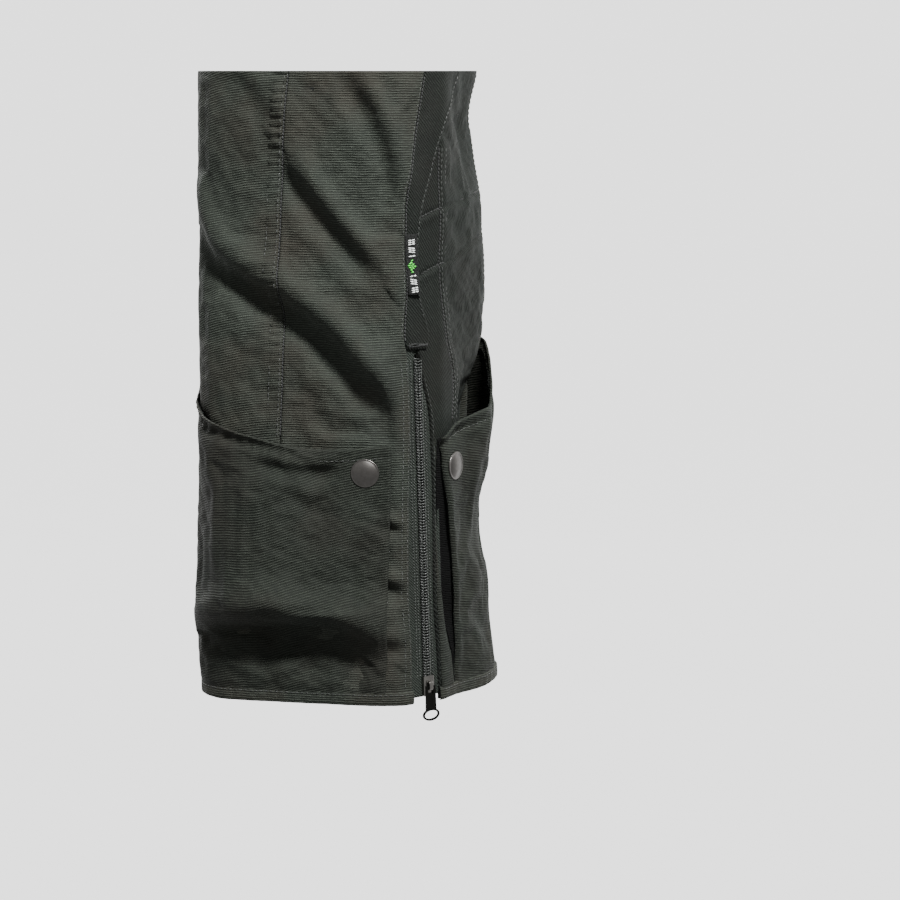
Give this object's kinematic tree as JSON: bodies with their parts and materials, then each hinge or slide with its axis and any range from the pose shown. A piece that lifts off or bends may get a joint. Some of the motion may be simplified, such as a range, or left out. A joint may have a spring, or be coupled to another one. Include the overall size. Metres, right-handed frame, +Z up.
{
  "type": "chaps lower leg",
  "caption": "Lower leg of padded work chaps: ribbed cloth tube with a zip vent up from the hem, press-stud pockets on both sides of it and bagged cut-protection layers in front.",
  "frame": {"origin": "centre of the top opening, in the plane of the upper edge where the upper leg is sewn on", "axes": "+Z up the leg, +X across the outer face towards the zip side, -Y out of the outer face"},
  "size_m": [0.1786, 0.1226, 0.3855],
  "materials": {
    "shell_cloth": "dark green-black ribbed polyester-cotton weave",
    "lining_cloth": "plain black lining",
    "pad_fibre": "loose knitted cut-protection fibre",
    "zip_tape": "woven herringbone tape",
    "zip_coil": "nylon monofilament",
    "zip_metal": "bright nickel",
    "stud_cap": "gunmetal lacquer over brass",
    "stud_metal": "dull nickel",
    "tab_weave": "damask woven tab",
    "thread": "bonded polyester thread"
  },
  "bodies": {
    "leg": {"back_lining": "lining_cloth", "calf_panel_upper": "shell_cloth", "cut_pad_layer_1": "pad_fibre", "cut_pad_layer_2": "pad_fibre", "cut_pad_layer_3": "pad_fibre", "cut_pad_layer_4": "pad_fibre", "front_panel": "shell_cloth", "front_snap_patch": "shell_cloth", "front_snap_post": "stud_metal", "front_snap_stud": "stud_metal", "hem_facing_back": "shell_cloth", "hem_facing_front": "shell_cloth", "inner_leg_panel": "shell_cloth", "outer_side_panel": "shell_cloth", "pad_lining": "lining_cloth", "side_lining": "lining_cloth", "side_strip": "shell_cloth", "side_tab": "tab_weave", "top_facing": "shell_cloth", "vent_bar_tack": "thread", "vent_lining": "lining_cloth", "zip_coil_front": "zip_coil", "zip_end_stop_front": "zip_metal", "zip_tape_front": "zip_tape", "zip_top_stop": "zip_coil"},
    "front_pocket": {"front_pocket_floor": "shell_cloth", "front_pocket_fold": "shell_cloth", "front_pocket_mouth_band": "shell_cloth", "front_pocket_panel": "shell_cloth", "front_snap_cap": "stud_cap", "front_snap_socket": "stud_metal"},
    "vent_flap": {"calf_lining_lower": "lining_cloth", "calf_panel_lower": "shell_cloth", "hem_facing_calf": "shell_cloth", "rear_snap_patch": "shell_cloth", "rear_snap_post": "stud_metal", "rear_snap_stud": "stud_metal", "zip_coil_rear": "zip_coil", "zip_end_stop_rear": "zip_metal", "zip_tape_rear": "zip_tape"},
    "rear_pocket": {"rear_pocket_floor": "shell_cloth", "rear_pocket_fold": "shell_cloth", "rear_pocket_mouth_band": "shell_cloth", "rear_pocket_panel": "shell_cloth", "rear_snap_cap": "stud_cap", "rear_snap_socket": "stud_metal"},
    "slider": {"slider_body": "zip_metal"},
    "puller": {"zip_puller": "zip_metal"}
  },
  "joints": [
    {"name": "vent_opening", "type": "hinge", "parent": "leg", "child": "vent_flap", "pos_m": [0.08036, 0.04496, -0.266], "axis": [0, 0, 1], "range_deg": [0, 12]},
    {"name": "slider_travel", "type": "slide", "parent": "leg", "child": "slider", "axis": [-0.0278, -0.0181, 0.9995], "range_m": [0, 0.185], "deforming": ["zip_coil_front", "zip_coil_rear", "zip_tape_rear"]},
    {"name": "puller_swing", "type": "hinge", "parent": "slider", "child": "puller", "pos_m": [0.04824, -0.02149, -0.36449], "axis": [-0.8382, -0.5443, -0.0332], "range_deg": [0, 170]},
    {"name": "front_pocket_opening", "type": "hinge", "parent": "leg", "child": "front_pocket", "pos_m": [-0.02, -0.0217, -0.366], "axis": [0.9872, -0.1595, 0], "range_deg": [0, 16]},
    {"name": "rear_pocket_opening", "type": "hinge", "parent": "vent_flap", "child": "rear_pocket", "pos_m": [0.06788, 0.01036, -0.366], "axis": [0.4437, 0.8962, 0], "range_deg": [0, 12]}
  ],
  "couplings": [
    {"joint": "slider_travel", "follows": "vent_opening", "m_per_rad": 0.88}
  ]
}
